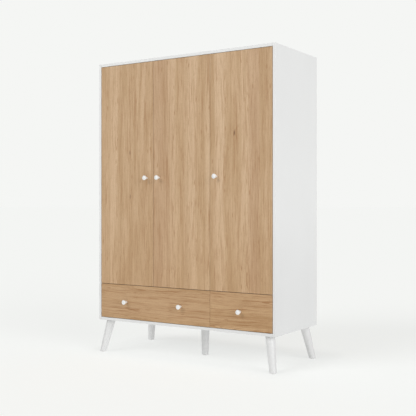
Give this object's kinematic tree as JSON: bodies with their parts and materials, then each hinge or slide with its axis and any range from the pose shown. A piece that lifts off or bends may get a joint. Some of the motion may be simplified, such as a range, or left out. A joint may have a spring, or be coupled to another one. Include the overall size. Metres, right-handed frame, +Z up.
{
  "type": "wardrobe",
  "caption": "Wardrobe on splayed round legs: white carcass, flush oak-effect doors with small round knobs over a row of drawers, hanging rail and shelves inside.",
  "frame": {"origin": "on the floor, at the centre of the middle leg's foot, under the middle of the carcass", "axes": "+Z up, +X to the right when facing the doors, +Y to the back; the doors face -Y"},
  "size_m": [1.345, 0.6112, 1.9365],
  "materials": {
    "white_board": "white satin melamine on particle board",
    "oak_board": "matt oak-effect laminate",
    "painted_wood": "white satin paint on turned wood",
    "back_sheet": "white-faced hardboard",
    "drawer_board": "white melamine",
    "drawer_bottom": "white-faced hardboard",
    "hinge_steel": "nickel plated steel",
    "rail": "chromed steel",
    "runner": "white enamelled steel"
  },
  "bodies": {
    "carcass": {"side_panel_left": "white_board", "side_panel_right": "white_board", "top_panel": "white_board", "bottom_panel": "white_board", "partition": "white_board", "back_sheet_left": "back_sheet", "back_sheet_right": "back_sheet", "deck_left": "white_board", "deck_right": "white_board", "hat_shelf": "white_board", "fixed_shelf": "white_board", "loose_shelf_1": "white_board", "loose_shelf_2": "white_board", "hanging_rail": "rail", "wide_drawer_runner_left": "runner", "wide_drawer_runner_right": "runner", "narrow_drawer_runner_left": "runner", "narrow_drawer_runner_right": "runner", "leg_front_left": "painted_wood", "leg_front_right": "painted_wood", "leg_rear_left": "painted_wood", "leg_rear_right": "painted_wood", "leg_centre": "painted_wood", "door_left_hinge_lower": "hinge_steel", "door_left_hinge_middle": "hinge_steel", "door_left_hinge_upper": "hinge_steel", "door_middle_hinge_lower": "hinge_steel", "door_middle_hinge_middle": "hinge_steel", "door_middle_hinge_upper": "hinge_steel", "door_right_hinge_lower": "hinge_steel", "door_right_hinge_middle": "hinge_steel", "door_right_hinge_upper": "hinge_steel"},
    "door_left": {"door_left": "oak_board", "door_left_knob": "painted_wood", "door_left_cup_lower": "hinge_steel", "door_left_cup_middle": "hinge_steel", "door_left_cup_upper": "hinge_steel"},
    "door_middle": {"door_middle": "oak_board", "door_middle_knob": "painted_wood", "door_middle_cup_lower": "hinge_steel", "door_middle_cup_middle": "hinge_steel", "door_middle_cup_upper": "hinge_steel"},
    "door_right": {"door_right": "oak_board", "door_right_knob": "painted_wood", "door_right_cup_lower": "hinge_steel", "door_right_cup_middle": "hinge_steel", "door_right_cup_upper": "hinge_steel"},
    "wide_drawer": {"wide_drawer_front": "oak_board", "wide_drawer_side_left": "drawer_board", "wide_drawer_side_right": "drawer_board", "wide_drawer_back": "drawer_board", "wide_drawer_bottom": "drawer_bottom", "wide_drawer_knob_left": "painted_wood", "wide_drawer_knob_right": "painted_wood"},
    "narrow_drawer": {"narrow_drawer_front": "oak_board", "narrow_drawer_side_left": "drawer_board", "narrow_drawer_side_right": "drawer_board", "narrow_drawer_back": "drawer_board", "narrow_drawer_bottom": "drawer_bottom", "narrow_drawer_knob": "painted_wood"}
  },
  "joints": [
    {"name": "door_left_hinge", "type": "hinge", "parent": "carcass", "child": "door_left", "pos_m": [-0.652, -0.283, 1.1895], "axis": [0, 0, -1], "range_deg": [0, 95]},
    {"name": "door_middle_hinge", "type": "hinge", "parent": "carcass", "child": "door_middle", "pos_m": [0.2172, -0.283, 1.1895], "axis": [0, 0, 1], "range_deg": [0, 95]},
    {"name": "door_right_hinge", "type": "hinge", "parent": "carcass", "child": "door_right", "pos_m": [0.652, -0.283, 1.1895], "axis": [0, 0, 1], "range_deg": [0, 95]},
    {"name": "wide_drawer_slide", "type": "slide", "parent": "carcass", "child": "wide_drawer", "axis": [0, -1, 0], "range_m": [0, 0.36]},
    {"name": "narrow_drawer_slide", "type": "slide", "parent": "carcass", "child": "narrow_drawer", "axis": [0, -1, 0], "range_m": [0, 0.36]}
  ]
}
